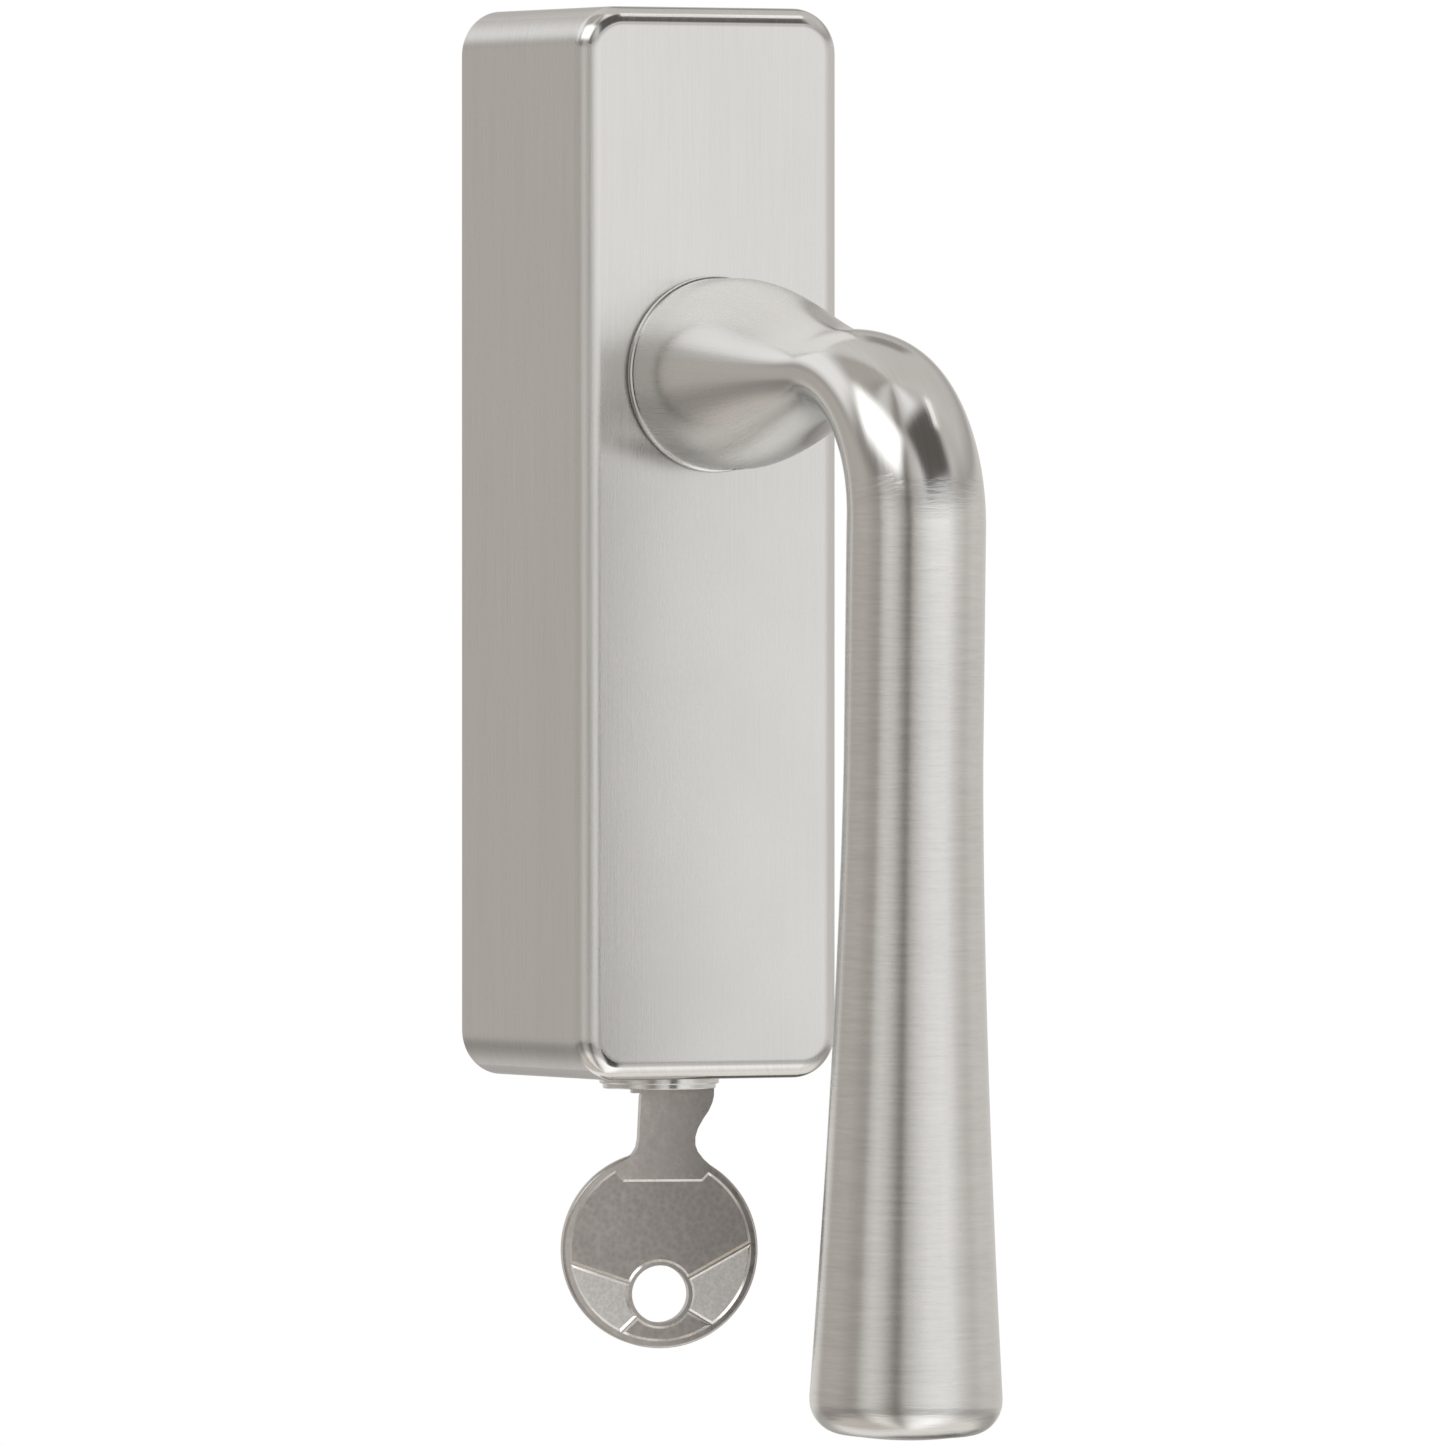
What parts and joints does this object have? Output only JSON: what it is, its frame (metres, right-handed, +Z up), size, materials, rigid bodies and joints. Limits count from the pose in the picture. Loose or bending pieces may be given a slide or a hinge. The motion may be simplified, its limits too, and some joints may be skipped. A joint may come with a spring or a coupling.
{
  "type": "lockable espagnolette window handle",
  "caption": "Lockable espagnolette window handle: oblong casing, flared grip on a curved neck, key-operated lock in the casing's lower end and a square spindle behind.",
  "frame": {"origin": "where the spindle's axis meets the face of the sash, on the base plate's back", "axes": "+Y into the sash along the spindle, +Z up along the casing, +X to the right seen from the room; the grip stands out to -Y"},
  "size_m": [0.0356, 0.1165, 0.1715],
  "materials": {
    "satin_nickel": "satin nickel plate, finely brushed",
    "key_nickel": "nickel plate, matt and a little darker",
    "nickel_brass": "nickel-plated brass",
    "brass": "turned brass",
    "zinc_plate": "zinc-plated steel",
    "steel_fastener": "bright zinc-plated steel",
    "spring_steel": "tempered spring steel",
    "bush_plastic": "natural acetal"
  },
  "bodies": {
    "root": {"base_plate": "zinc_plate", "cover": "satin_nickel", "cover_screw": "steel_fastener", "front_plate": "zinc_plate", "spacer_pillars": "steel_fastener", "pillar_screws": "steel_fastener", "guide_rods": "steel_fastener", "rear_bush": "bush_plastic", "neck_bush": "bush_plastic", "spring_posts": "steel_fastener", "detent_spring_left": "spring_steel", "detent_spring_right": "spring_steel", "fixing_screws": "steel_fastener", "cylinder_body": "nickel_brass", "collar_nut": "satin_nickel", "cylinder_saddle": "zinc_plate", "saddle_screws": "steel_fastener", "cylinder_screw": "steel_fastener", "driver_pins": "brass", "pin_springs": "spring_steel", "chamber_caps": "brass"},
    "handle_body": {"handle": "satin_nickel", "spindle": "steel_fastener", "grub_screw": "steel_fastener", "index_hub": "zinc_plate", "hub_pin": "steel_fastener"},
    "plug": {"cylinder_plug": "nickel_brass", "key_pins": "brass", "tail_cam": "zinc_plate", "plug_circlip": "spring_steel"},
    "slide": {"locking_slide": "zinc_plate", "locking_pin": "steel_fastener"},
    "key_body": {"key": "key_nickel"}
  },
  "joints": [
    {"name": "handle_turn", "type": "hinge", "parent": "root", "child": "handle_body", "pos_m": [0, 0, 0], "axis": [0, 1, 0], "range_deg": [0, 180], "deforming": ["detent_spring_left", "detent_spring_right"]},
    {"name": "lock_slide", "type": "slide", "parent": "root", "child": "slide", "axis": [0, 1, 0], "range_m": [-0.00097, 0.00339]},
    {"name": "key_turn", "type": "hinge", "parent": "root", "child": "plug", "pos_m": [0, -0.018, -0.0869], "axis": [0, 0, 1], "range_deg": [-70, 20]},
    {"name": "key_withdraw", "type": "slide", "parent": "plug", "child": "key_body", "axis": [0, 0, -1], "range_m": [0, 0.028]}
  ],
  "couplings": [
    {"joint": "key_turn", "follows": "lock_slide", "rad_per_m": -360.49}
  ]
}
